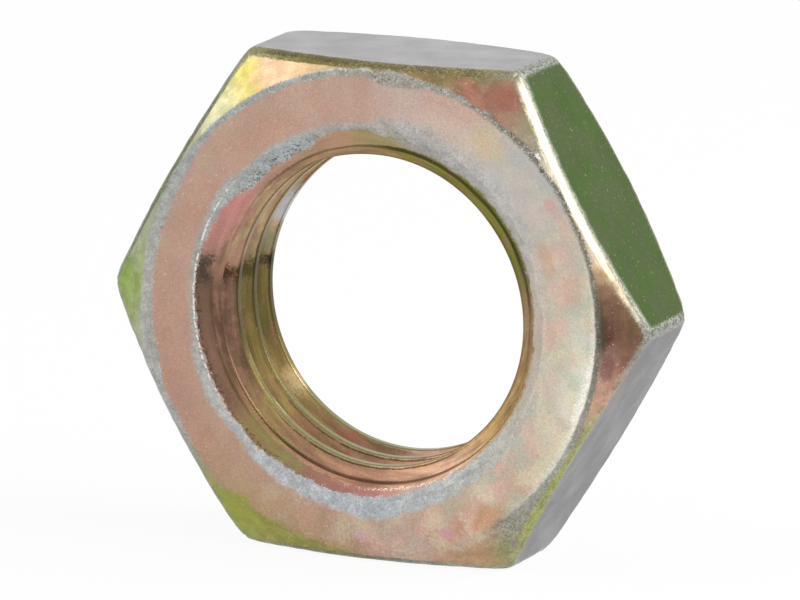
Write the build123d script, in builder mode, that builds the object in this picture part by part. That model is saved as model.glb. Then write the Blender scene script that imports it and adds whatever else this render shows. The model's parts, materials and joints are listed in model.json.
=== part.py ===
# Jam nut: a thin hexagon nut, chamfered at the corners of both faces, with a countersunk threaded hole.
#
# It stands on one of its six flats, as such a nut can be set down on a bench. The hole runs along Y and
# the front face looks towards -Y. The origin is on the hole's axis, half way through the nut. The hole's
# wall is plain here and lies at the crests of the thread.

from build123d import *

import os
from math import cos, radians, tan

# Driving sizes, in millimetres and degrees
across_flats = 32.0
thickness = 10.0

# Thread: nominal diameter, and how far its worn crests stand in from it
thread_diameter = 22.0
crest_height = 0.9

# Countersink at each end of the hole: how far its mouth reaches past the thread, and its full angle
mouth_allowance = 1.0
countersink_angle = 120.0

# Corner chamfer: how far the round face stands in from the flats, and the slope from the face
face_inset = 0.5
chamfer_slope = 30.0

# Roundings: upright corners, rim of the face, lip of the countersink
corner_radius = 0.8
rim_radius = 0.3
lip_radius = 0.5

# Worn edge between the chamfer and the flats, as its width along each of them
edge_break = 0.4

# The turned profile reaches this far past the corners, so that its chamfer cuts them whole
overshoot = 1.0

# Places that follow from the sizes
half_thickness = thickness / 2
crest_reach = thread_diameter / 2 - crest_height
mouth_reach = thread_diameter / 2 + mouth_allowance
face_reach = across_flats / 2 - face_inset
outer_reach = across_flats / 2 / cos(radians(30)) + overshoot
countersink_depth = (mouth_reach - crest_reach) / tan(radians(countersink_angle / 2))
chamfer_depth = (outer_reach - face_reach) * tan(radians(chamfer_slope))

# At the middle of a flat the chamfer is at its narrowest, and has room there for little more than the
# rim's rounding and the worn edge
chamfer_width = face_inset / cos(radians(chamfer_slope))
edge_limit = chamfer_width - rim_radius * tan(radians(chamfer_slope / 2))

with BuildPart() as jam_nut:
    # Hexagon bar with a flat at the top and one at the bottom
    with BuildSketch(Plane.XZ) as hexagon:
        RegularPolygon(radius=across_flats / 2, side_count=6, major_radius=False)
        fillet(hexagon.vertices(), radius=corner_radius)
    extrude(amount=half_thickness, both=True)

    # Turned form: the hole, both countersinks, both faces and both chamfers in one profile
    with BuildSketch(Plane.XY) as turned:
        with BuildLine():
            Polyline(
                (crest_reach, half_thickness - countersink_depth),
                (mouth_reach, half_thickness),
                (face_reach, half_thickness),
                (outer_reach, half_thickness - chamfer_depth),
                (outer_reach, chamfer_depth - half_thickness),
                (face_reach, -half_thickness),
                (mouth_reach, -half_thickness),
                (crest_reach, countersink_depth - half_thickness),
                close=True,
            )
        make_face()
        fillet(turned.vertices().group_by(Axis.X)[-2], radius=rim_radius)
        fillet(turned.vertices().group_by(Axis.X)[1], radius=lip_radius)
    revolve(axis=Axis.Y, mode=Mode.INTERSECT)

    # Scalloped edge that runs all round each side, where the chamfer meets the flats and corners
    curved_edges = jam_nut.edges().filter_by(GeomType.LINE, reverse=True)
    scallops = curved_edges.filter_by(GeomType.CIRCLE, reverse=True)
    chamfer(scallops, length=min(edge_break, 0.95 * edge_limit))

jam_nut.part.label = "jam_nut"
os.makedirs("parts", exist_ok=True)
export_step(jam_nut.part, "parts/jam_nut.step")
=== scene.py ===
import json
from math import cos, pi, radians, sin, tan

import bpy
import numpy as np
from mathutils import Matrix, Vector, noise


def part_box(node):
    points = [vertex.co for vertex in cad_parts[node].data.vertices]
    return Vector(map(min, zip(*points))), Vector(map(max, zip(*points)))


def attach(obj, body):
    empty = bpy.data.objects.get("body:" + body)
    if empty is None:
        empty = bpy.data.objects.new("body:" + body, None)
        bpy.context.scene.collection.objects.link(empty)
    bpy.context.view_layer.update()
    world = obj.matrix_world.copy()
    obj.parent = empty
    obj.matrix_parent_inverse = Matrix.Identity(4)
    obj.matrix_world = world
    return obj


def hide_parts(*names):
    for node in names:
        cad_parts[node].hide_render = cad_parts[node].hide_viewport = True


# Jam nut in yellow passivated zinc, standing on one of its flats on a pale floor.
#
# The nut is one closed mesh, a grid with its columns round the hexagon and its rows round the section,
# so that the thread, the countersinks and the scalloped edges are all real shape. Sizes are millimetres
# and degrees throughout, and become metres where Blender is handed them. Angles round the hole start at
# the corner on the right and run anticlockwise, seen from the front.

MM = 0.001

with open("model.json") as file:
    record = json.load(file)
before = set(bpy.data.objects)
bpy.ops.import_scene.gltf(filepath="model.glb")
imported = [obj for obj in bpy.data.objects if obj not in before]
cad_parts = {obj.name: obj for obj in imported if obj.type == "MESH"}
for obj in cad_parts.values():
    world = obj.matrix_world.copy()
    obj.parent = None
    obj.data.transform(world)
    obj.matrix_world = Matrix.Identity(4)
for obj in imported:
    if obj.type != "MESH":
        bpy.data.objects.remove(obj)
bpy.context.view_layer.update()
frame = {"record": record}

# Sizes that the frame gives
lowest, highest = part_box("jam_nut")
across_flats = (highest.z - lowest.z) / MM
half_thickness = (highest.y - lowest.y) / MM / 2
floor_height = lowest.z / MM
thread_mount = next(m for m in frame["record"]["mounts"] if m["name"] == "thread")
wall_reach = thread_mount["dims"]["r_mm"]
countersink_depth = half_thickness - thread_mount["dims"]["length_mm"] / 2

# Sizes of the form, as the solid has them
corner_radius = 0.8
face_inset = 0.5
chamfer_slope = 30.0
countersink_half_angle = 60.0
rim_radius = 0.3
lip_radius = 0.5
scallop_radius = 0.75

# Right-hand thread M22 x 2.5: flank slope as reach gained along the axis, and how far behind the front
# face a crest lies at one angle. It was tapped a little off the centre of the nut, towards the lower left.
root_reach = 11.0
pitch = 2.5
crest_width = 0.55
crest_burr = 0.04
flank_slope = 1 / tan(radians(30))
crest_place = 2.26
crest_angle = 278.0
off_centre = 0.15
off_centre_angle = 236.0
thread_rounding = 0.16
runout_rounding = 0.12

# Grid: steps round the outline for each side of the hexagon, and rows from the middle of a flat to the
# mouth of the hole, then through the hole
flat_steps = 50
corner_steps = 10
side_rows = 9
scallop_rows = 8
chamfer_rows = 6
rim_rows = 4
face_rows = 10
lip_rows = 6
bore_rows = 182

face_reach = across_flats / 2 - face_inset
crest_reach = wall_reach - crest_burr
mouth_reach = wall_reach + countersink_depth * tan(radians(countersink_half_angle))


def rounded_hexagon():
    """Points and outward normals round the nut, anticlockwise from the start of the right-hand corner."""
    flat_length = across_flats * tan(radians(30)) - 2 * corner_radius * tan(radians(30))
    corner_centre = (across_flats / 2 - corner_radius) / cos(radians(30))
    crowding = 0.25
    points = []
    normals = []
    for side in range(6):
        middle = radians(60 * side)
        for step in range(corner_steps):
            turn = middle + radians(60 * step / corner_steps - 30)
            normal = np.array([cos(turn), sin(turn)])
            centre = corner_centre * np.array([cos(middle), sin(middle)])
            points.append(centre + corner_radius * normal)
            normals.append(normal)
        turn = middle + radians(30)
        normal = np.array([cos(turn), sin(turn)])
        along = np.array([-sin(turn), cos(turn)])
        for step in range(flat_steps):
            share = 2 * step / flat_steps - 1
            # Columns stand closer together towards the corners
            share = (1 + crowding) * share - crowding * share**3
            points.append(across_flats / 2 * normal + share * flat_length / 2 * along)
            normals.append(normal)
    return np.array(points), np.array(normals)


def between(start, end, rows):
    """Shares from start to end, closer together at both ends, without the end itself."""
    share = (1 - np.cos(np.arange(rows) / rows * pi)) / 2
    return start + (end - start) * share


def outer_rows(points, normals):
    """Rows from the middle of the flats to the lip of the hole, as (x, height towards the face, z)."""
    slope = radians(chamfer_slope)
    spine = points - scallop_radius * normals
    spine_reach = np.linalg.norm(spine, axis=1)
    outward = spine / spine_reach[:, None]
    # Columns crowd at the corners, and spread out evenly by the time they reach the rim
    crowded = np.unwrap(np.arctan2(spine[:, 1], spine[:, 0]))
    even = 2 * pi * (np.arange(len(points)) - corner_steps / 2) / len(points)
    spine_height = half_thickness - (scallop_radius + (spine_reach - face_reach) * sin(slope)) / cos(slope)
    rows = []

    def radial(reach, height, share=1.0):
        """A row at this reach from the axis and this height, each one number or one for each column."""
        turn = crowded + share * (even - crowded)
        heights = np.broadcast_to(height, turn.shape)
        rows.append(np.stack([reach * np.cos(turn), heights, reach * np.sin(turn)], axis=1))

    for share in between(0, 1, side_rows):
        rows.append(np.stack([points[:, 0], share * spine_height, points[:, 1]], axis=1))

    # Rolling ball between the flats and the chamfer's cone
    flat_normal = np.stack([normals[:, 0], 0 * spine_height, normals[:, 1]], axis=1)
    cone_up = np.full_like(spine_height, cos(slope))
    cone_normal = np.stack([outward[:, 0] * sin(slope), cone_up, outward[:, 1] * sin(slope)], axis=1)
    centre = np.stack([spine[:, 0], spine_height, spine[:, 1]], axis=1)
    opening = np.arccos((flat_normal * cone_normal).sum(axis=1))[:, None]
    for step in range(scallop_rows):
        share = step / scallop_rows
        turned = np.sin((1 - share) * opening) * flat_normal + np.sin(share * opening) * cone_normal
        rows.append(centre + scallop_radius * turned / np.sin(opening))

    contact_reach = spine_reach + scallop_radius * sin(slope)
    contact_height = spine_height + scallop_radius * cos(slope)
    tangent = rim_radius * tan(slope / 2)
    for share in between(0, 1, chamfer_rows):
        radial(
            contact_reach + share * (face_reach + tangent * cos(slope) - contact_reach),
            contact_height + share * (half_thickness - tangent * sin(slope) - contact_height),
            share,
        )
    rim_centre = face_reach - tangent
    for step in range(rim_rows):
        turn = slope * (1 - step / rim_rows)
        radial(rim_centre + rim_radius * sin(turn), half_thickness - rim_radius * (1 - cos(turn)))
    lip_turn = radians(90 - countersink_half_angle)
    lip_centre = mouth_reach + lip_radius * tan(lip_turn / 2)
    for reach in between(rim_centre, lip_centre, face_rows):
        radial(reach, half_thickness)
    for step in range(lip_rows + 1):
        turn = lip_turn * step / lip_rows
        radial(lip_centre - lip_radius * sin(turn), half_thickness - lip_radius * (1 - cos(turn)))
    return np.array(rows), even


def smooth_max(a, b, width):
    """The larger of the two, rounded over where they are within width of each other."""
    overlap = np.maximum(width - np.abs(a - b), 0) / width
    return np.maximum(a, b) + overlap**2 * width / 4


def past_crest(place, angle):
    """How far behind the nearest crest of the thread a place along Y is, at an angle in degrees."""
    crest = crest_place - half_thickness + pitch * (crest_angle - angle) / 360
    return (place - crest + pitch / 2) % pitch - pitch / 2


def bore_reach(place, angle):
    """Reach of the hole's wall from the axis, at a place along Y and an angle round it in degrees."""
    flank = crest_reach + flank_slope * (np.abs(past_crest(place, angle)) - crest_width / 2)
    wall = smooth_max(flank, crest_reach, thread_rounding)
    wall = -smooth_max(-wall, -root_reach, thread_rounding)
    wall = wall + off_centre * cos(radians(angle - off_centre_angle))
    # The countersink's cone, from whichever face is nearer
    cone = mouth_reach - tan(radians(countersink_half_angle)) * (half_thickness - np.abs(place))
    return smooth_max(wall, cone, runout_rounding)


def bore_grid(turns, lip_end):
    """Rows through the hole from the front to the back, closer together where the section turns."""
    samples = 1600
    turning_weight = 0.22
    blur = 20
    spread = np.hanning(2 * blur + 1)
    place = np.linspace(-lip_end, lip_end, samples)
    rows = np.zeros((bore_rows, len(turns), 3))
    for column, turn in enumerate(turns):
        reach = bore_reach(place, np.degrees(turn))
        step = np.hypot(np.diff(place), np.diff(reach))
        heading = np.unwrap(np.arctan2(np.diff(reach), np.diff(place)))
        turning = np.abs(np.gradient(heading))
        turning = np.convolve(np.pad(turning, blur, mode="edge"), spread / spread.sum(), mode="valid")
        weight = np.concatenate([[0], np.cumsum(step + turning_weight * turning)])
        wanted = np.arange(1, bore_rows + 1) / (bore_rows + 1) * weight[-1]
        row_place = np.interp(wanted, weight, place)
        row_reach = np.interp(row_place, place, reach)
        rows[:, column] = np.stack([row_reach * cos(turn), row_place, row_reach * sin(turn)], axis=1)
    return rows


def nut_grid():
    """Points of the whole surface, and for each how far along the section it lies from the middle of the
    scalloped edge, towards the flats, how far out from the thread's crests, and on which side of one."""
    points, normals = rounded_hexagon()
    outer, turns = outer_rows(points, normals)
    steps = np.linalg.norm(np.diff(outer, axis=0), axis=2)
    run = np.concatenate([np.zeros((1, len(points))), np.cumsum(steps, axis=0)])
    scallop = run[side_rows + scallop_rows // 2] - run
    bore = bore_grid(turns, outer[-1, 0, 1])
    grid = np.concatenate([outer * np.array([1, -1, 1]), bore, outer[:0:-1]])
    gaps = np.concatenate([scallop, np.full(bore.shape[:2], scallop.min()), scallop[:0:-1]])
    angles = np.arctan2(grid[:, :, 2], grid[:, :, 0])
    crest = crest_reach + off_centre * np.cos(angles - radians(off_centre_angle))
    depths = np.hypot(grid[:, :, 0], grid[:, :, 2]) - crest
    sides = np.sin(2 * pi * past_crest(grid[:, :, 1], np.degrees(angles)) / pitch)
    return grid, gaps, depths, sides


def grid_normals(grid):
    """Outward unit normals of a grid that closes both ways."""
    along_rows = np.roll(grid, -1, axis=0) - np.roll(grid, 1, axis=0)
    along_columns = np.roll(grid, -1, axis=1) - np.roll(grid, 1, axis=1)
    normals = np.cross(along_columns, along_rows)
    return normals / np.linalg.norm(normals, axis=2)[:, :, None]


def rough(point, size, seed):
    """Smooth noise from 0 to 1 at a point, with bumps about as large as size."""
    return 0.5 + 0.5 * noise.noise(Vector(point) / size + Vector((seed, 0, 0)))


def wear(grid, gaps):
    """How far each point lies inside the clean form: uneven faces, knocked edges and blunted corners."""
    faces_uneven = 0.02
    face_bumps = 3.5
    edge_uneven = 0.07
    edge_knocks = 0.8
    edge_quiet = 0.7
    edge_width = 0.5
    edge_seed = 20
    corner_blunting = 0.14
    corner_width = 0.9
    depth = np.zeros(grid.shape[:2])
    for row in range(grid.shape[0]):
        for column in range(grid.shape[1]):
            point = grid[row, column]
            reach = np.hypot(point[0], point[2])
            from_corner = (np.arctan2(point[2], point[0]) + pi / 6) % (pi / 3) - pi / 6
            from_ridge = reach * abs(sin(from_corner))
            gap = gaps[row, column]
            nearness = min(abs(reach - face_reach), abs(reach - mouth_reach), abs(gap))
            if gap > 0:
                nearness = min(nearness, from_ridge)
            edge = max(0.0, 1 - nearness / edge_width)
            depth[row, column] = faces_uneven * rough(point, face_bumps, 0)
            if edge:
                knock = max(0.0, 2 * rough(point, edge_knocks, edge_seed) - edge_quiet)
                depth[row, column] += edge_uneven * edge * knock
            blunted = max(0.0, 1 - abs(gap) / corner_width) * max(0.0, 1 - from_ridge / corner_width)
            depth[row, column] += corner_blunting * blunted
    return depth


def new_object(name, data):
    made = bpy.data.objects.new(name, data)
    bpy.context.scene.collection.objects.link(made)
    return made


def build_nut():
    grid, gaps, depths, sides = nut_grid()
    grid = grid - grid_normals(grid) * wear(grid, gaps)[:, :, None]
    rows, columns = grid.shape[:2]
    index = np.arange(rows * columns).reshape(rows, columns)
    ahead = np.roll(index, -1, axis=1)
    quads = np.stack([index, ahead, np.roll(ahead, -1, axis=0), np.roll(index, -1, axis=0)], axis=2)
    mesh = bpy.data.meshes.new("plated_nut")
    mesh.from_pydata((grid.reshape(-1, 3) * MM).tolist(), [], quads.reshape(-1, 4).tolist())
    mesh.shade_smooth()
    for name, values in (("scallop_gap", gaps), ("thread_depth", depths), ("thread_side", sides)):
        attribute = mesh.attributes.new(name, "FLOAT", "POINT")
        attribute.data.foreach_set("value", values.astype(np.float32).ravel())
    mesh.update()
    return new_object("plated_nut", mesh)


def shade(red, green, blue):
    """A colour given in the screen's numbers from 0 to 255, as Blender's linear colour."""
    return tuple(((part / 255 + 0.055) / 1.055) ** 2.4 for part in (red, green, blue)) + (1.0,)


def grey(level):
    return (level, level, level, 1.0)


class Recipe:
    """Short calls that add one shader node each and return its output."""

    def __init__(self, tree):
        self.tree = tree

    def add(self, kind, settings, inputs):
        node = self.tree.nodes.new("ShaderNode" + kind)
        for name, value in settings.items():
            setattr(node, name, value)
        for name, value in inputs.items():
            socket = node.inputs[name]
            if isinstance(value, bpy.types.NodeSocket):
                self.tree.links.new(value, socket)
            else:
                socket.default_value = value
        return node

    def math(self, operation, a, b=0.0):
        return self.add("Math", {"operation": operation}, {0: a, 1: b}).outputs[0]

    def times(self, first, *others):
        for other in others:
            first = self.math("MULTIPLY", first, other)
        return first

    def vector(self, operation, a, b=(0, 0, 0)):
        return self.add("VectorMath", {"operation": operation}, {0: a, 1: b}).outputs[0]

    def scaled(self, a, factor):
        return self.add("VectorMath", {"operation": "SCALE"}, {0: a, "Scale": factor}).outputs[0]

    def swing(self, field, amount):
        """A noise field brought round zero, as large as amount."""
        return self.scaled(self.vector("SUBTRACT", field, (0.5, 0.5, 0.5)), amount)

    def moved(self, place, field, amount):
        return self.vector("ADD", place, self.swing(field, amount))

    def shifted(self, value, noise_value, amount):
        """A number moved up and down by a noise value, by half of amount each way."""
        return self.math("ADD", value, self.ramp(noise_value, 0.0, 1.0, -amount / 2, amount / 2, "LINEAR"))

    def xyz(self, place):
        return self.add("SeparateXYZ", {}, {0: place}).outputs

    def split(self, field):
        return self.add("SeparateColor", {}, {0: field}).outputs

    def length(self, a):
        return self.add("VectorMath", {"operation": "LENGTH"}, {0: a}).outputs["Value"]

    def ramp(self, value, start, end, low=0.0, high=1.0, kind="SMOOTHSTEP"):
        """low before start, high after end, and smooth in between. start may lie after end."""
        settings = {"interpolation_type": kind}
        return self.add("MapRange", settings, {0: value, 1: start, 2: end, 3: low, 4: high}).outputs[0]

    def mix(self, share, a, b):
        return self.add("Mix", {"data_type": "RGBA"}, {0: share, 6: a, 7: b}).outputs[2]

    def attribute(self, name):
        return self.add("Attribute", {"attribute_name": name}, {}).outputs["Fac"]

    def noise(self, place, size, detail=2.0, output="Fac"):
        inputs = {"Vector": place, "Scale": 1 / size, "Detail": detail}
        return self.add("TexNoise", {}, inputs).outputs[output]

    def inside(self, value, start, end, soft):
        """1 between start and end, falling off over soft at each of them."""
        rise = self.ramp(value, start - soft / 2, start + soft / 2)
        fall = self.ramp(value, end + soft / 2, end - soft / 2)
        return self.math("MULTIPLY", rise, fall)

    def circle(self, turn, stops, sudden=False):
        """Colour ramp over a turn, from linear colours at angles in rising order.

        Up to the first angle its colour holds, and the ramp comes back to it at the end."""
        node = self.add("ValToRGB", {}, {0: turn})
        ramp = node.color_ramp
        ramp.interpolation = "CONSTANT" if sudden else "LINEAR"
        if not sudden:
            stops = stops + [(360, stops[0][1])]
        while len(ramp.elements) < len(stops):
            ramp.elements.new(1.0)
        for element, (angle, colour) in zip(ramp.elements, stops):
            element.position = angle / 360
            element.color = colour
        return node.outputs[0]

    def wheel(self, turn, stops, sudden=False):
        """A colour for each share of a turn, from colours at angles in rising order."""
        return self.circle(turn, [(angle, shade(*colour)) for angle, *colour in stops], sudden)

    def turn(self, place):
        """Share of a turn round the hole, from the right and anticlockwise as seen from the front."""
        x, _, z = self.xyz(place)
        angle = self.math("DIVIDE", self.math("ARCTAN2", z, x), 2 * pi)
        return self.math("FRACT", self.math("ADD", angle, 1.0))

    def reach(self, place):
        """Distance from the hole's axis."""
        return self.length(self.vector("MULTIPLY", place, (1, 0, 1)))

    def spot(self, place, angle, reach, across, along):
        """Mask of an oval spot on the front at that angle and reach, with its half sizes."""
        turn = radians(angle)
        settings = {"vector_type": "TEXTURE"}
        inputs = {
            "Vector": place,
            "Location": (reach * cos(turn), -half_thickness, reach * sin(turn)),
            "Rotation": (0, -turn, 0),
            "Scale": (across, spot_depth, along),
        }
        local = self.add("Mapping", settings, inputs).outputs[0]
        return self.ramp(self.length(local), 1.2, 0.6)


# Plating: sizes of its noise, how far that moves the borders of the colours, and the share of a turn by
# which the blooms on the back differ from those on the front
cloud_size = 2.6
bloom_size = 1.7
patch_size = 0.75
speckle_size = 0.22
grain_size = 0.15
fine_size = 0.085
streak_size = 0.16
streak_stretch = 20
cloud_drift = 1.7
patch_drift = 0.9
patch_ragging = 0.5
grain_ragging = 0.4
speckle_fraying = 0.35
back_turn = 0.31
spot_depth = 1.5

# Surface: how metallic it is, and how high and how strong its fine bumps are
metallic = 0.85
bump_height = 0.03
bump_strength = 0.4

# Where zones of the plating meet, and bands at the mouth and the rim, as distances from the hole's axis
face_change = (12.9, 14.6)
chamfer_change = (16.2, 17.2)
cone_change = (11.85, 12.15)
# Of these bands, the flecks are painted glints, the dark line just inside the lip is painted shadow, and the
# lip and the rim at the right carry painted highlights
fleck_glint_band = (11.32, 11.42)
lip_shadow_band = (11.7, 11.93)
lip_highlight_band = (11.97, 12.08)
coarse_band = (11.9, 11.3)
rim_highlight_band = (15.5, 15.38)
# Places along Y where frost and the painted shade of the fold, the crests and the far left fade in or out
frost_depth = (0.0, -1.0)
seam_shade_depth = (-3.2, -3.6)
crest_shade_depth = (1.6, 1.2)
far_shade_depth = (-1.0, -0.4)

# Colours of the plating by the angle round the hole. The front face, in its outer and its inner half
# The near-white of the outer half, from about 338 to 352 degrees, is a painted highlight
face_outer = [
    (0, 204, 202, 188), (14, 198, 184, 170), (24, 194, 178, 168), (38, 183, 182, 178), (50, 186, 184, 180),
    (57, 206, 178, 160), (70, 200, 168, 156), (84, 194, 168, 160), (89, 190, 164, 154), (92, 188, 155, 138),
    (140, 188, 156, 138), (215, 180, 138, 122), (232, 178, 148, 118), (260, 174, 142, 114),
    (280, 186, 150, 138), (300, 196, 152, 130), (326, 204, 184, 166), (338, 226, 220, 202),
    (352, 226, 222, 206),
]
face_inner = [
    (0, 210, 196, 178), (20, 208, 186, 172), (32, 192, 188, 182), (50, 194, 188, 184), (64, 204, 182, 170),
    (80, 202, 180, 170), (90, 192, 158, 144), (120, 191, 152, 134), (210, 186, 150, 132),
    (245, 182, 148, 126), (270, 186, 152, 134), (300, 194, 174, 154), (330, 196, 184, 168),
]

# Blooms of other colours on the face
bloom_tones = [(222, 180, 166), (180, 190, 168), (224, 214, 180)]

# Chamfer, next to the rim and towards the corners. The dark browns at the right corner, from about 354 to 9
# degrees, are a painted dark reflection, and the pale creams from about 16 to 44 degrees partly a painted
# highlight
chamfer_rim = [
    (0, 100, 62, 56), (9, 134, 104, 82), (15, 188, 158, 122), (20, 228, 210, 184), (40, 232, 222, 198),
    (46, 160, 152, 126), (58, 164, 120, 102), (68, 168, 118, 98), (72, 142, 128, 88), (82, 146, 112, 78),
    (96, 128, 112, 60), (107, 196, 168, 130), (115, 202, 162, 130), (119, 202, 168, 128),
    (122, 192, 178, 98), (128, 188, 182, 142), (138, 176, 174, 140), (150, 136, 140, 116),
    (170, 164, 170, 140), (178, 150, 168, 92), (190, 172, 172, 146), (216, 160, 156, 132),
    (236, 152, 154, 70), (264, 150, 142, 80), (276, 168, 142, 120), (298, 186, 148, 116),
    (308, 148, 146, 130), (330, 146, 146, 134), (343, 200, 160, 136), (352, 180, 148, 130),
]
chamfer_corner = [
    (0, 118, 90, 70), (8, 128, 98, 76), (16, 190, 172, 146), (44, 190, 180, 156), (52, 150, 138, 112),
    (56, 160, 118, 100), (62, 156, 128, 104), (66, 134, 132, 96), (80, 128, 118, 66), (108, 200, 166, 130),
    (117, 202, 162, 134), (121, 190, 178, 96), (127, 184, 178, 108), (136, 164, 164, 124),
    (160, 136, 138, 112), (176, 140, 164, 78), (186, 144, 158, 96), (210, 170, 166, 148),
    (236, 154, 160, 72), (262, 140, 128, 88), (288, 160, 146, 122), (296, 188, 150, 116),
    (302, 150, 148, 102), (318, 158, 160, 100), (345, 198, 152, 130), (354, 140, 102, 84),
]

# Rounding between the chamfer and the flats. Its pale creams from about 16 to 52 degrees are partly a
# painted highlight, on top of the key lamp's own
scallop_wheel = [
    (0, 140, 138, 128), (8, 142, 130, 106), (16, 186, 172, 138), (22, 226, 214, 180), (52, 230, 220, 190),
    (59, 150, 144, 122), (66, 122, 112, 66), (98, 104, 92, 44), (112, 98, 88, 42), (119, 132, 128, 84),
    (124, 128, 130, 100), (136, 104, 108, 80), (166, 104, 110, 78), (182, 130, 138, 108),
    (196, 150, 152, 146), (224, 146, 144, 124), (238, 136, 138, 84), (254, 118, 114, 84),
    (276, 112, 108, 86), (286, 138, 140, 128), (300, 146, 146, 116), (308, 160, 162, 84),
    (338, 166, 166, 94), (346, 196, 152, 128), (354, 150, 138, 124),
]

# Bare zinc round the mouth of the hole and at the rim of the face
mouth_wheel = [
    (0, 196, 180, 172), (25, 186, 184, 180), (60, 186, 186, 186), (90, 178, 176, 170), (120, 172, 180, 182),
    (180, 170, 170, 162), (208, 178, 181, 178), (230, 190, 193, 196), (272, 182, 188, 192),
    (330, 180, 180, 172),
]
rim_wheel = [
    (0, 92, 91, 80), (16, 112, 112, 102), (30, 92, 92, 84), (46, 108, 108, 98), (62, 150, 150, 140),
    (90, 158, 157, 146), (118, 168, 176, 176), (140, 158, 164, 164), (180, 176, 179, 172),
    (210, 166, 167, 166), (238, 150, 148, 100), (268, 130, 126, 104), (300, 150, 142, 128),
    (330, 162, 164, 156),
]

# Flats, from corner to corner
flats_wheel = [
    (0, 70, 86, 43), (60, 156, 154, 156), (120, 132, 132, 112), (180, 146, 142, 138), (240, 132, 128, 108),
    (300, 123, 121, 122),
]

# Countersink, then the hole's wall just behind it and deep in the thread, and the crests of the thread.
# Their darker colours on the left, from about 172 to 215 degrees, are partly painted shade in the hole
countersink_wheel = [
    (0, 206, 192, 178), (20, 204, 196, 184), (60, 184, 180, 170), (76, 172, 168, 156), (84, 168, 154, 112),
    (94, 166, 146, 104), (100, 176, 142, 112), (136, 186, 146, 126), (148, 200, 138, 132),
    (156, 194, 138, 128), (165, 176, 132, 116), (176, 112, 88, 70), (196, 128, 98, 80), (215, 130, 98, 80),
    (222, 148, 126, 86), (232, 146, 136, 82), (242, 140, 132, 88), (250, 152, 110, 94), (272, 160, 108, 104),
    (286, 168, 142, 128), (300, 146, 142, 130), (330, 184, 174, 152),
]
mouth_wall_wheel = [
    (0, 176, 148, 114), (12, 140, 128, 80), (24, 128, 134, 52), (76, 140, 134, 60), (92, 160, 134, 94),
    (125, 176, 140, 112), (155, 182, 148, 126), (168, 150, 116, 94), (178, 120, 92, 74), (208, 118, 92, 68),
    (226, 154, 128, 86), (242, 184, 142, 114), (270, 164, 122, 100), (302, 178, 146, 120),
    (320, 184, 154, 96), (342, 190, 158, 106),
]
wall_wheel = [
    (0, 150, 130, 76), (30, 112, 108, 50), (90, 140, 122, 72), (130, 164, 138, 102), (158, 182, 158, 122),
    (168, 172, 148, 114), (175, 126, 106, 64), (200, 132, 114, 64), (222, 172, 150, 92), (238, 152, 122, 84),
    (262, 136, 106, 80), (280, 158, 116, 92), (300, 154, 116, 78), (335, 152, 122, 68),
]
crest_wheel = [
    (0, 160, 140, 84), (60, 146, 134, 74), (140, 160, 136, 98), (160, 142, 120, 84), (172, 88, 76, 44),
    (195, 94, 82, 44), (212, 134, 118, 66), (240, 150, 144, 98), (274, 162, 152, 118), (290, 168, 138, 102),
    (325, 164, 138, 84),
]

# Where the bare ring round the mouth of the hole ends and starts, by angle
mouth_end = [
    (0, 12.45), (30, 12.6), (62, 12.6), (74, 12.8), (86, 12.65), (90, 12.2), (112, 12.1), (138, 12.1),
    (142, 12.42), (178, 12.28), (194, 12.4), (204, 12.78), (212, 12.82), (220, 12.6), (228, 12.62),
    (234, 12.88), (250, 12.92), (264, 13), (272, 13.32), (283, 12.9), (300, 12.6), (330, 12.45),
]
mouth_start = [
    (0, 11.15), (60, 11.2), (84, 11.35), (92, 11.7), (106, 11.6), (111, 11.15), (116, 10.97), (132, 10.97),
    (140, 11.05), (144, 11.4), (150, 11.6), (160, 11.82), (176, 11.95), (205, 12), (236, 11.95),
    (252, 11.85), (280, 11.75), (292, 11.45), (312, 11.25),
]
# Where the hole's wall takes its own colour, and the painted shade in the fold at the first turn of the
# thread
wall_start = [
    (0, 11.12), (22, 11.3), (72, 11), (90, 10.62), (152, 10.48), (172, 11), (240, 11.05), (268, 11.4),
    (304, 11.42),
]
seam_reach = [
    (0, 10.62), (16, 10.82), (32, 10.86), (50, 10.74), (70, 10.72), (95, 10.56), (150, 10.35), (164, 10.4),
    (172, 11.02), (270, 11.12), (285, 10.95), (300, 10.72), (320, 10.8), (340, 10.65),
]
seam_shade_strength = [
    (0, 0.4), (16, 0.8), (80, 0.9), (95, 0.6), (130, 0.45), (150, 0.25), (160, 0), (172, 0), (182, 0.4),
    (212, 0.55), (234, 0), (258, 0.1), (274, 0.3), (285, 0.2), (330, 0.25),
]
seam_shade_width = [(0, 0.08), (18, 0.15), (74, 0.15), (100, 0.07)]
# Where the colours deep in the thread set in along Y, and the painted shade along the front of each crest
thread_start = [(166, -3.2), (176, -2.2), (212, -2.2), (224, -3), (300, -3.2)]
crest_shade_strength = [(0, 0.2), (40, 0), (150, 0), (215, 0.3), (236, 0.6), (250, 0.9), (292, 0.9), (310, 0.4)]

# How bare the ring is, and how bright on the countersink
mouth_strength = [(0, 0.3), (20, 0.55), (50, 0.7), (118, 0.95), (290, 0.95), (325, 0.7), (345, 0.4)]
cone_brightness = [(0, 1.12), (30, 1.14), (60, 1.1), (90, 1), (250, 1), (284, 0.62), (308, 0.7), (336, 1.12)]
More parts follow.
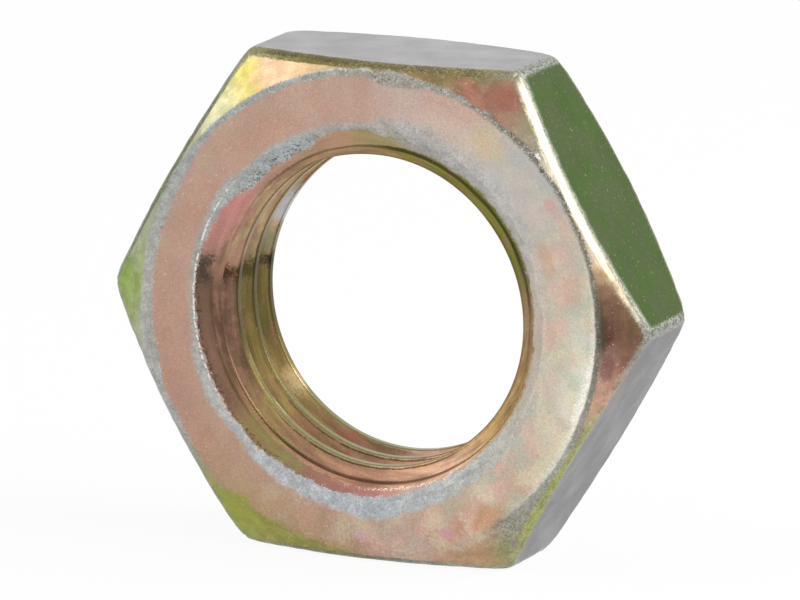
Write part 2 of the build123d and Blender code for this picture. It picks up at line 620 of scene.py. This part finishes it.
# Where the bare rim of the face starts and ends, how bare it is, and how flawed
rim_start = [
    (16, 15.42), (42, 15.46), (52, 15.36), (76, 15.22), (79, 14.8), (87, 14.72), (91, 15.18), (100, 15.1),
    (140, 15.08), (146, 14.72), (166, 14.76), (196, 14.95), (202, 15.18), (214, 15.2), (222, 15.5),
    (300, 15.5), (306, 15.3), (330, 15.3), (345, 15.42),
]
rim_end = [
    (0, 15.8), (16, 15.68), (42, 15.7), (54, 15.74), (60, 15.7), (104, 15.62), (118, 15.52), (176, 15.56),
    (200, 16.4), (220, 16.4), (228, 15.7), (298, 15.62), (306, 15.8), (336, 15.78),
]
rim_strength = [(216, 0.9), (228, 0.15), (298, 0.2), (306, 0.9)]
rim_flaws = [
    (0, 0.3), (40, 0.5), (52, 0.9), (62, 0.8), (132, 0.6), (146, 0.15), (220, 0.15), (240, 0.4), (306, 0.45),
    (334, 0.4), (350, 0.25),
]
# Where the painted highlight on the rim starts at the right, and how bright it is
rim_highlight_start = [(0, 15.3), (20, 15.4), (300, 15.35), (332, 15.15), (343, 14.9), (350, 15), (356, 15.22)]
rim_highlight_strength = [(0, 0.75), (16, 0.55), (26, 0), (304, 0), (314, 0.4), (332, 0.5), (340, 0.9), (350, 0.95)]
# Where the colours of the chamfer set in, and where they have fully taken over from the face
face_stops = [
    (100, 15.5), (110, 15.36), (162, 15.36), (172, 15.5), (230, 15.5), (248, 14.95), (264, 15), (274, 15.5),
]
face_fades = [
    (100, 15.6), (110, 15.46), (162, 15.46), (172, 15.6), (215, 15.6), (228, 15.95), (246, 15.7),
    (264, 15.75), (278, 16.5), (298, 16.5), (306, 15.6),
]

# How far the dull band of the scalloped edge comes in over the chamfer, how much of it is grains of bare
# zinc, how blotched the face is, how grainy all of it, and how much bare zinc fringes the chamfer
band_start = [
    (0, -0.2), (54, -0.35), (66, -0.5), (80, -0.4), (90, -0.55), (100, -0.95), (114, -0.85), (124, -0.5),
    (134, -0.6), (164, -0.6), (176, -0.35), (236, -0.3), (254, -0.5), (284, -0.45), (296, -0.25),
    (306, -0.45), (336, -0.4), (348, -0.15),
]
granular = [
    (0, 0.5), (20, 0.1), (56, 0.25), (66, 0.4), (92, 0.35), (102, 0.15), (120, 0.3), (270, 0.4), (300, 0.55),
]
blotching = [
    (0, 1), (26, 0.8), (34, 0.35), (48, 0.4), (56, 0.6), (64, 0.25), (84, 0.25), (90, 0.12), (236, 0.12),
    (266, 0.45), (300, 1),
]
graininess = [
    (0, 0.6), (20, 0.55), (28, 0.4), (48, 0.4), (56, 0.7), (84, 0.7), (92, 0.55), (228, 0.55), (262, 0.75),
]
fringe_strength = [(40, 0), (46, 0.5), (54, 0), (300, 0), (306, 0.6), (318, 0.45), (330, 0)]

# Spots of stronger colour on the front: angle, reach, half width, half length, colour and strength
spots = [
    (54.8, 14, 0.8, 1.5, (210, 192, 146), 0.42),
    (33.5, 14.8, 0.4, 0.5, (216, 152, 148), 0.4),
    (28, 14.8, 0.4, 1.3, (208, 166, 158), 0.4),
    (20.8, 12.9, 0.6, 1.4, (204, 158, 132), 0.5),
    (12, 14.1, 0.8, 1.2, (208, 170, 152), 0.5),
    (358.6, 12.4, 0.5, 1, (208, 168, 160), 0.5),
    (292.4, 14.7, 0.4, 0.6, (212, 140, 164), 0.45),
    (269.1, 14.4, 0.4, 0.6, (202, 152, 176), 0.45),
    (304.7, 15, 0.8, 1.4, (194, 146, 104), 0.6),
    (305.4, 17.1, 0.4, 0.45, (146, 126, 150), 0.6),
    (147.6, 14.75, 0.25, 0.8, (200, 136, 150), 0.5),
    (236.5, 16.2, 1.1, 1.2, (156, 158, 72), 0.9),
    (227, 12.4, 0.5, 0.4, (172, 150, 80), 0.5),
    (59, 17, 0.9, 1.3, (164, 106, 90), 0.8),
    (51, 16.6, 0.6, 0.8, (150, 144, 112), 0.6),
    (2, 15.85, 0.2, 2.2, (70, 72, 52), 0.6),
    (2, 17.7, 0.4, 0.5, (108, 110, 64), 0.6),
    # Painted dark reflection at the right corner of the chamfer
    (353, 16.3, 0.5, 1, (112, 62, 64), 0.6),
    (120, 17.9, 0.4, 0.5, (226, 212, 190), 0.7),
    (41.2, 15.5, 0.14, 0.18, (60, 60, 52), 0.9),
    (44.4, 15.8, 0.14, 0.24, (240, 240, 228), 0.9),
]

# The same in the hole: angle, place along Y, half width in degrees, half length, colour and strength.
# Those in pale grey, cream or gold at 153, 163, 186, 208, 211.5, 219 and 226 degrees are painted glints on
# the thread
hole_spots_and_glints = [
    (152, -3.7, 6, 0.7, (190, 136, 124), 0.4),
    (166, -2.3, 4, 0.6, (178, 134, 118), 0.6),
    (153, 3, 7.5, 1.4, (192, 192, 194), 0.95),
    (163, 1.6, 5, 0.7, (188, 184, 186), 0.9),
    (167, 2.8, 5, 0.7, (140, 144, 110), 0.7),
    (191, 1.3, 9, 0.9, (100, 100, 46), 0.7),
    (186, -1.7, 6, 0.22, (158, 146, 96), 0.6),
    (211.5, 0.95, 4, 0.4, (206, 188, 138), 0.9),
    (208, -2, 5, 0.3, (170, 158, 100), 0.7),
    (226, -2.1, 4, 0.25, (214, 206, 158), 0.8),
    (219, 2.3, 5, 0.5, (222, 194, 146), 0.7),
    (217, -3.8, 4, 0.5, (152, 100, 86), 0.6),
    (234, -0.8, 6, 0.5, (160, 108, 88), 0.6),
    (253, -1, 1.6, 0.5, (146, 82, 64), 0.6),
    (248, 1.8, 5, 0.5, (160, 94, 78), 0.6),
    (278, 2.6, 8, 1, (180, 158, 142), 0.6),
    (171.5, -4.72, 5, 0.24, (60, 58, 50), 0.85),
    (174, -2.9, 3, 0.6, (66, 44, 24), 0.9),
    (175, 0.2, 3.6, 0.9, (74, 66, 36), 0.8),
    (174.5, 2.8, 2.4, 0.5, (46, 40, 28), 0.95),
]


class Plating(Recipe):
    """Yellow passivated zinc: where on the nut a point lies, its noise, and the colour of each zone."""

    def __init__(self, tree):
        super().__init__(tree)
        self.place = self.scaled(self.add("TexCoord", {}, {}).outputs["Object"], 1 / MM)
        _, self.y, _ = self.xyz(self.place)
        self.own_turn = self.turn(self.place)
        self.own_reach = self.reach(self.place)
        clouds = self.noise(self.place, cloud_size, 3, "Color")
        patches = self.noise(self.place, patch_size, 3, "Color")
        grains = self.noise(self.place, grain_size, 2, "Color")
        self.clouds = self.split(clouds)
        self.patches = self.split(patches)
        self.grains = self.split(grains)
        self.speckles = self.noise(self.place, speckle_size, 2, "Color")
        self.fine = self.noise(self.place, fine_size, 1)
        # Marks of the tool, drawn out round the hole
        along = self.scaled(self.vector("MULTIPLY", self.place, (1, 0, 1)), 1 / streak_stretch)
        across = self.add("CombineXYZ", {}, {1: self.math("ADD", self.y, self.own_reach)}).outputs[0]
        self.streaks = self.noise(self.vector("ADD", along, across), streak_size, 3)

        # Each place moved about by the noise, so that borders drift, turn ragged or fray
        drifted = self.moved(self.moved(self.place, clouds, cloud_drift), patches, patch_drift)
        self.ragged = self.moved(self.moved(self.place, patches, patch_ragging), grains, grain_ragging)
        self.drifted_reach = self.reach(drifted)
        self.ragged_reach = self.reach(self.ragged)
        self.frayed_reach = self.reach(self.moved(self.ragged, self.speckles, speckle_fraying))
        self.hole_turn = self.turn(drifted)
        # The back has blooms of its own: those of the front, turned on
        behind = self.ramp(self.y, -0.5, 0.5, 0.0, back_turn)
        self.turned_on = self.math("FRACT", self.math("ADD", self.own_turn, behind))
        self.drifted_turn = self.math("FRACT", self.math("ADD", self.hole_turn, behind))

        gap = self.shifted(self.attribute("scallop_gap"), self.grains[1], 0.5)
        self.gap = self.shifted(gap, self.patches[1], 0.5)
        # Distance from the upright edge where two flats meet
        share = self.math("PINGPONG", self.own_turn, 1 / 12)
        from_edge = self.times(share, 2 * pi * across_flats / 2 / cos(radians(30)))
        self.from_edge = self.shifted(from_edge, self.grains[0], 0.5)
        self.green_flat = self.inside(self.own_turn, 0.0, 1 / 6, 0.002)
        self.in_hole = self.ramp(self.ragged_reach, mouth_reach - 0.05, mouth_reach - 0.15)
        self.mouth = self.mouth_share()

    def dial(self, stops):
        """A number by the angle round the hole, from numbers at angles in rising order."""
        least = min(number for _, number in stops)
        span = max(number for _, number in stops) - least
        levels = [(angle, grey((number - least) / span)) for angle, number in stops]
        return self.ramp(self.circle(self.own_turn, levels), 0.0, 1.0, least, least + span, "LINEAR")

    def past(self, value, stops):
        """How far a number lies past the one that holds at this angle."""
        return self.math("SUBTRACT", value, self.dial(stops))

    def varied(self, colour, field, low, high, spread=0.15, kind="SMOOTHSTEP"):
        """The colour darkened to low and lightened to high by a noise value."""
        return self.scaled(colour, self.ramp(field, 0.5 - spread, 0.5 + spread, low, high, kind))

    def painted(self, colour, tone, *shares):
        """The colour with a tone in screen numbers laid over it, as strongly as the shares multiply to."""
        return self.mix(self.times(*shares), colour, shade(*tone))

    def mouth_share(self):
        """How bare the zinc is on the ring round the mouth of the hole, and 0 elsewhere."""
        end = self.shifted(self.past(self.frayed_reach, mouth_end), self.grains[2], 0.6)
        end = self.shifted(end, self.fine, 0.5)
        end = self.ramp(end, 0.22, -0.22)
        start = self.shifted(self.past(self.frayed_reach, mouth_start), self.fine, 0.4)
        return self.times(end, self.ramp(start, -0.1, 0.1), self.dial(mouth_strength))

    def face(self):
        inner = self.wheel(self.drifted_turn, face_inner)
        outer = self.wheel(self.drifted_turn, face_outer)
        colour = self.mix(self.ramp(self.drifted_reach, *face_change), inner, outer)
        blotched = self.dial(blotching)
        blooms = self.noise(self.moved(self.place, self.speckles, 0.6), bloom_size, 3, "Color")
        blooms = self.split(self.moved(blooms, self.speckles, 0.2))
        for field, tone in zip(blooms, bloom_tones):
            colour = self.painted(colour, tone, self.ramp(field, 0.43, 0.66), blotched, 0.55)
        return colour

    def chamfer(self):
        rim = self.wheel(self.drifted_turn, chamfer_rim)
        corner = self.wheel(self.drifted_turn, chamfer_corner)
        colour = self.mix(self.ramp(self.drifted_reach, *chamfer_change), rim, corner)
        colour = self.varied(colour, self.streaks, 0.95, 1.05, 0.2)
        return self.varied(colour, self.patches[0], 0.88, 1.12)

    def scallop(self):
        """The scalloped edge's dull band, with grains of bare zinc and a painted highlight at the upper
        right.
        """
        colour = self.varied(self.wheel(self.turned_on, scallop_wheel), self.patches[1], 0.8, 1.2)
        return self.grained(colour, self.dial(granular))

    def flats(self):
        colour = self.wheel(self.own_turn, flats_wheel, sudden=True)
        clouded = self.ramp(self.clouds[0], 0.46, 0.58)
        colour = self.painted(colour, (64, 91, 32), clouded, self.green_flat, 0.6)
        colour = self.varied(colour, self.clouds[2], 0.96, 1.04)
        # Frosted along the scalloped edge, most of all on the flat at the upper right
        frost = self.dial([(0, 0.5), (3, 0.9), (57, 0.9), (60, 0.35), (290, 0.35), (302, 0.12), (357, 0.12)])
        frost = self.times(self.ramp(self.gap, 1.15, 0.45), frost, self.ramp(self.y, *frost_depth))
        frosting = self.mix(self.ramp(self.grains[1], 0.4, 0.55), shade(128, 132, 120), shade(206, 206, 196))
        colour = self.mix(frost, colour, frosting)
        worn = self.times(self.ramp(self.from_edge, 0.55, 0.3), self.ramp(self.gap, 0.2, 0.5), 0.85)
        granules = self.mix(self.ramp(self.grains[2], 0.36, 0.6), shade(110, 112, 102), shade(176, 176, 170))
        colour = self.mix(worn, colour, granules)
        return self.painted(colour, (186, 186, 150), self.ramp(self.grains[2], 0.68, 0.72), 0.55)

    def wall(self):
        """Wall of the hole behind the countersink, with the folds and crests of the thread."""
        # The mouth's colours give way to those of the thread
        deep = self.ramp(self.past(self.y, thread_start), -0.3, 0.3)
        front = self.wheel(self.hole_turn, mouth_wall_wheel)
        wall = self.mix(deep, front, self.wheel(self.hole_turn, wall_wheel))
        # Mottled with brown pink, streaked by the tap, and darkened with painted shade far in on the left
        wall = self.painted(wall, (158, 116, 98), self.ramp(self.patches[2], 0.46, 0.6), 0.45)
        wall = self.varied(wall, self.streaks, 0.74, 1.24, 0.2)
        far_shade = self.dial([(164, 0), (173, 0.25), (190, 0.25), (208, 0)])
        wall = self.painted(wall, (74, 86, 36), self.ramp(self.y, *far_shade_depth), far_shade)
        depth = self.shifted(self.attribute("thread_depth"), self.patches[0], 0.1)
        depth = self.shifted(depth, self.grains[0], 0.1)
        wall = self.mix(self.ramp(depth, 0.14, 0.08), wall, self.wheel(self.hole_turn, crest_wheel))
        # Painted shade along the front of each crest
        return self.painted(
            wall,
            (76, 56, 34),
            self.inside(depth, 0.14, 0.23, 0.05),
            self.ramp(self.attribute("thread_side"), 0.0, -0.1),
            self.ramp(self.patches[1], 0.36, 0.46),
            self.ramp(self.y, *crest_shade_depth),
            self.dial(crest_shade_strength),
        )

    def countersink(self):
        colour = self.wheel(self.hole_turn, countersink_wheel)
        colour = self.varied(colour, self.streaks, 0.88, 1.1, 0.2)
        lower_left = self.inside(self.own_turn, 0.56, 0.7, 0.05)
        return self.painted(colour, (148, 108, 90), self.ramp(self.patches[0], 0.48, 0.56), lower_left, 0.35)

    def hole(self):
        past_wall = self.ramp(self.past(self.ragged_reach, wall_start), -0.06, 0.06)
        colour = self.mix(past_wall, self.wall(), self.countersink())
        # Painted shade in the fold along the first turn of the thread, and bright flecks at the bottom of
        # the countersink painted as glints
        from_seam = self.shifted(self.past(self.own_reach, seam_reach), self.patches[2], 0.12)
        seam = self.ramp(self.past(self.math("ABSOLUTE", from_seam), seam_shade_width), 0.04, -0.04)
        in_front = self.ramp(self.y, *seam_shade_depth)
        colour = self.painted(colour, (58, 62, 8), seam, self.dial(seam_shade_strength), in_front)
        # Bright flecks painted as glints
        colour = self.painted(
            colour,
            (236, 224, 200),
            self.inside(self.ragged_reach, *fleck_glint_band, 0.1),
            self.ramp(self.fine, 0.44, 0.6),
            self.ramp(self.patches[1], 0.46, 0.56),
            self.dial([(256, 0), (262, 0.7), (300, 0.8), (308, 0)]),
        )
        _, ragged_y, _ = self.xyz(self.ragged)
        ragged_turn = self.turn(self.ragged)
        # Spots in the hole, some of them painted glints
        for angle, depth, half_turn, half_depth, tone, strength in hole_spots_and_glints:
            across = self.times(self.math("SUBTRACT", ragged_turn, angle / 360), 360 / half_turn)
            along = self.times(self.math("SUBTRACT", ragged_y, depth), 1 / half_depth)
            away = self.length(self.add("CombineXYZ", {}, {0: across, 1: along}).outputs[0])
            away = self.shifted(self.shifted(away, self.patches[0], 1.4), self.grains[0], 1.4)
            colour = self.painted(colour, tone, self.ramp(away, 1.5, 0.35), strength)
        return colour

    def bare_mouth(self, colour):
        tone = self.varied(self.wheel(self.own_turn, mouth_wheel), self.patches[2], 0.88, 1.1)
        tone = self.varied(tone, self.grains[1], 0.82, 1.15, 0.18, "LINEAR")
        # Coarser towards the hole at the upper left
        tone = self.painted(
            tone,
            (92, 96, 90),
            self.dial([(0, 0.2), (60, 0.3), (92, 0.6), (112, 0.9), (142, 0.9), (156, 0.4)]),
            self.ramp(self.grains[2], 0.46, 0.38),
            self.ramp(self.frayed_reach, *coarse_band),
        )
        tone = self.scaled(tone, self.ramp(self.own_reach, *cone_change, self.dial(cone_brightness), 1.0))
        colour = self.mix(self.mouth, colour, tone)
        # Painted shadow just inside the lip on the left
        return self.painted(
            colour,
            (64, 62, 54),
            self.inside(self.ragged_reach, *lip_shadow_band, 0.1),
            self.ramp(self.grains[2], 0.5, 0.42),
            self.dial([(162, 0), (172, 0.9), (214, 0.8), (244, 0.5), (250, 0)]),
        )

    def bare_rim(self, colour):
        # Frayed round most of the face, and a cleaner line on the right
        calm = self.shifted(self.own_reach, self.patches[1], 0.24)
        fraying = self.dial([(0, 0.1), (36, 0.25), (56, 0.8), (300, 0.8), (325, 0.5), (345, 0.2)])
        reach = self.ramp(fraying, 0.0, 1.0, calm, self.frayed_reach, "LINEAR")
        start = self.past(self.shifted(reach, self.fine, 0.5), rim_start)
        end = self.past(self.shifted(reach, self.fine, 0.3), rim_end)
        start = self.ramp(start, -0.12, 0.14)
        rim = self.times(start, self.ramp(end, 0.08, -0.08), self.dial(rim_strength))
        tone = self.varied(self.wheel(self.own_turn, rim_wheel), self.patches[1], 0.88, 1.12)
        tone = self.varied(tone, self.grains[1], 0.84, 1.14, 0.18, "LINEAR")
        flaws = self.dial(rim_flaws)
        pits = self.times(self.ramp(self.grains[2], 0.48, 0.38), self.ramp(self.patches[2], 0.42, 0.54))
        tone = self.mix(self.times(pits, flaws), tone, self.scaled(tone, 0.4))
        tone = self.painted(tone, (212, 214, 210), self.ramp(self.grains[0], 0.54, 0.62), flaws, 0.6)
        # Painted highlight on the rim at the right
        return self.painted(
            self.mix(rim, colour, tone),
            (252, 250, 238),
            self.ramp(self.past(self.shifted(reach, self.fine, 0.6), rim_highlight_start), -0.25, 0.3),
            self.ramp(reach, *rim_highlight_band),
            self.dial(rim_highlight_strength),
            self.ramp(self.patches[1], 0.3, 0.48, 0.3),
            self.ramp(self.grains[1], 0.36, 0.5, 0.6),
        )

    def lip_highlight(self, colour):
        """The lip of the hole, with a painted highlight on the left."""
        reach = self.shifted(self.own_reach, self.patches[0], 0.1)
        return self.painted(
            colour,
            (250, 250, 248),
            self.inside(reach, *lip_highlight_band, 0.05),
            self.dial([(132, 0), (146, 0.7), (200, 0.75), (222, 0)]),
            self.ramp(self.patches[1], 0.38, 0.5),
            self.ramp(self.grains[1], 0.4, 0.5),
        )

    def grained(self, colour, strength):
        """The colour with pale grains of bare zinc and dark pits in it."""
        colour = self.painted(colour, (172, 174, 164), self.ramp(self.grains[2], 0.49, 0.6), strength)
        return self.painted(colour, (110, 108, 92), self.ramp(self.grains[2], 0.46, 0.36), strength, 0.7)

    def zones(self):
        """The colours of the whole nut, from the face to the flats and then into the hole."""
        face_ends = self.ramp(self.frayed_reach, self.dial(face_stops), self.dial(face_fades))
        colour = self.mix(face_ends, self.face(), self.chamfer())
        outside = self.ramp(self.ragged_reach, face_reach, face_reach + 0.1)
        colour = self.grained(colour, self.times(outside, self.dial(fringe_strength)))
        band = self.ramp(self.shifted(self.past(self.gap, band_start), self.fine, 0.5), -0.15, 0.15)
        band = self.times(band, self.ramp(self.own_reach, face_reach + 0.05, face_reach + 0.2))
        colour = self.mix(band, colour, self.scallop())
        for angle, reach, across, along, tone, strength in spots:
            mask = self.spot(self.ragged, angle, reach, across, along)
            colour = self.painted(colour, tone, mask, strength)
        colour = self.mix(self.ramp(self.gap, 0.4, 0.5), colour, self.flats())
        colour = self.mix(self.in_hole, colour, self.hole())
        return self.lip_highlight(self.bare_mouth(self.bare_rim(colour)))

    def grain(self, colour):
        """The colour with its grain: light and dark, a little in all colours, and pale and dark specks."""
        lively = self.dial(graininess)
        tint = self.vector("ADD", self.scaled(self.swing(self.speckles, 0.42), lively), (1, 1, 1))
        colour = self.vector("MULTIPLY", colour, tint)
        tone = self.times(self.ramp(self.fine, 0.0, 1.0, -0.42, 0.42, "LINEAR"), lively)
        tone = self.shifted(self.math("ADD", tone, 1.0), self.clouds[1], 0.22)
        colour = self.scaled(colour, tone)
        # Fewer specks on the flats and in the hole
        fewer = self.ramp(self.gap, 0.2, 0.6, 1.0, 0.25)
        fewer = self.times(fewer, self.ramp(self.in_hole, 0.0, 1.0, 1.0, 0.25))
        colour = self.painted(colour, (232, 226, 206), self.ramp(self.grains[0], 0.68, 0.74), fewer, 0.5)
        return self.painted(colour, (96, 82, 66), self.ramp(self.grains[2], 0.33, 0.27), fewer, 0.4)

    def bumps(self):
        """Grain of the surface, coarser where the zinc is bare, and drawn out by the tap in the thread."""
        grain = self.times(self.grains[0], self.ramp(self.mouth, 0.0, 1.0, 0.3, 0.85))
        waves = self.times(self.clouds[0], self.ramp(self.gap, 0.2, 0.6, 1.0, 0.2))
        marks = self.times(self.streaks, self.ramp(self.gap, -1.2, -1.8, 0.05, 0.4))
        height = self.math("ADD", self.math("ADD", grain, waves), marks)
        inputs = {"Strength": bump_strength, "Distance": bump_height * MM, "Height": height}
        return self.add("Bump", {}, inputs).outputs[0]

    def build(self):
        shader = self.tree.nodes["Principled BSDF"]
        self.tree.links.new(self.grain(self.zones()), shader.inputs["Base Color"])
        shader.inputs["Metallic"].default_value = metallic
        # The green flat is duller than the rest
        dull = self.times(self.green_flat, self.ramp(self.gap, 0.2, 0.5, 0.0, 0.2))
        roughness = self.math("ADD", self.ramp(self.clouds[0], 0.3, 0.7, 0.3, 0.42), dull)
        self.tree.links.new(roughness, shader.inputs["Roughness"])
        self.tree.links.new(self.bumps(), shader.inputs["Normal"])


def passivated_zinc():
    material = bpy.data.materials.new("passivated_zinc")
    material.use_nodes = True
    Plating(material.node_tree).build()
    return material


# Studio: how strongly the world lights the nut, and how far the floor turns white where it is seen, which
# leaves the rest to the nut's shadow
world_light = 0.6
floor_size = 4000.0
floor_paleness = 0.85
floor_roughness = 0.9
floor_white = 0.92


def direction(azimuth, elevation):
    """Unit vector out from the nut. Azimuth 0 is in front of it and 90 on its right."""
    turn = radians(azimuth)
    rise = radians(elevation)
    return Vector((sin(turn) * cos(rise), -cos(turn) * cos(rise), sin(rise)))


def build_camera():
    """Camera at the photograph's viewing angle, a little off level."""
    azimuth = 23.29
    elevation = 12.38
    roll = radians(0.81)
    distance = 633.6
    lens = 451.0
    aim_right = 0.063
    aim_up = -0.095
    back = direction(azimuth, elevation)
    right = (-back).cross(Vector((0, 0, 1))).normalized()
    up = right.cross(-back)
    data = bpy.data.cameras.new("camera")
    data.sensor_width = 36.0
    data.lens = lens
    camera = new_object("camera", data)
    place = (back * distance + right * aim_right + up * aim_up) * MM
    across = right * cos(roll) + up * sin(roll)
    upright = up * cos(roll) - right * sin(roll)
    turn = Matrix((across, upright, back)).transposed().to_4x4()
    camera.matrix_world = Matrix.Translation(place) @ turn
    bpy.context.scene.camera = camera


def soft_box(name, azimuth, elevation, distance, width, height, power):
    """Rectangular lamp facing the nut."""
    data = bpy.data.lights.new(name, "AREA")
    data.shape = "RECTANGLE"
    data.size = width * MM
    data.size_y = height * MM
    data.energy = power
    lamp = new_object(name, data)
    towards = direction(azimuth, elevation)
    lamp.location = towards * distance * MM
    lamp.rotation_euler = towards.to_track_quat("Z", "Y").to_euler()


def seen_or_mirrored(r):
    """1 for a ray from the camera or off a mirror-like or clear surface, and 0 for the light on things."""
    path = r.add("LightPath", {}, {})
    seen = r.math("MAXIMUM", path.outputs["Is Camera Ray"], path.outputs["Is Glossy Ray"])
    return r.math("MAXIMUM", seen, path.outputs["Is Transmission Ray"])


def build_world():
    """White where it is seen, softer where it lights the nut."""
    world = bpy.data.worlds.new("studio")
    bpy.context.scene.world = world
    world.use_nodes = True
    r = Recipe(world.node_tree)
    background = world.node_tree.nodes["Background"]
    background.inputs["Color"].default_value = grey(1.0)
    strength = r.ramp(seen_or_mirrored(r), 0.0, 1.0, world_light, 1.0)
    r.tree.links.new(strength, background.inputs["Strength"])


def build_floor():
    half = floor_size / 2 * MM
    level = floor_height * MM
    mesh = bpy.data.meshes.new("floor")
    corners = [(x * half, y * half, level) for x, y in ((-1, -1), (1, -1), (1, 1), (-1, 1))]
    mesh.from_pydata(corners, [], [(0, 1, 2, 3)])
    floor = new_object("floor", mesh)
    material = bpy.data.materials.new("pale_floor")
    material.use_nodes = True
    r = Recipe(material.node_tree)
    shader = material.node_tree.nodes["Principled BSDF"]
    shader.inputs["Base Color"].default_value = grey(floor_paleness)
    shader.inputs["Roughness"].default_value = floor_roughness
    glow = r.add("Emission", {}, {"Strength": 1.0})
    share = r.math("MULTIPLY", seen_or_mirrored(r), floor_white)
    mixed = r.add("MixShader", {}, {0: share, 1: shader.outputs[0], 2: glow.outputs[0]})
    r.tree.links.new(mixed.outputs[0], material.node_tree.nodes["Material Output"].inputs["Surface"])
    mesh.materials.append(material)


nut = build_nut()
nut.data.materials.append(passivated_zinc())
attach(nut, "root")
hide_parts("jam_nut")

build_camera()
build_world()
build_floor()
soft_box("key", azimuth=100, elevation=36, distance=500, width=460, height=300, power=2.3)
soft_box("fill", azimuth=-60, elevation=35, distance=600, width=400, height=400, power=0.75)
bpy.context.scene.view_settings.view_transform = "Standard"
